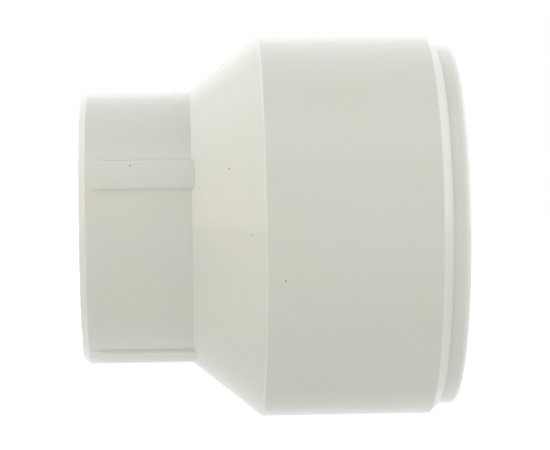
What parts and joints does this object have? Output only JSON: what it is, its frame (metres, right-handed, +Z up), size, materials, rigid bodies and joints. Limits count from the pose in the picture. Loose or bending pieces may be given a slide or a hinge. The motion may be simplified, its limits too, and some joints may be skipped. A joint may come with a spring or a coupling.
{
  "type": "concentric reducer",
  "caption": "Concentric reducer for soil and drain pipe: a wide push-fit socket with a snap cap and lip seal, a cone, and a narrow solvent-weld socket with raised alignment pads.",
  "frame": {"origin": "on the bore's axis, half way along the fitting", "axes": "+X runs along the bore from the small socket to the large one, +Z is up with the fitting lying on its barrel, +Y completes the right-handed frame"},
  "size_m": [0.1234, 0.1268, 0.1268],
  "materials": {
    "white_pvc": "satin, as moulded",
    "black_rubber": "matt"
  },
  "bodies": {
    "root": {"reducer_body": "white_pvc", "pipe_guide_sleeve": "white_pvc", "retaining_cap": "white_pvc", "lip_seal": "black_rubber"}
  },
  "joints": []
}
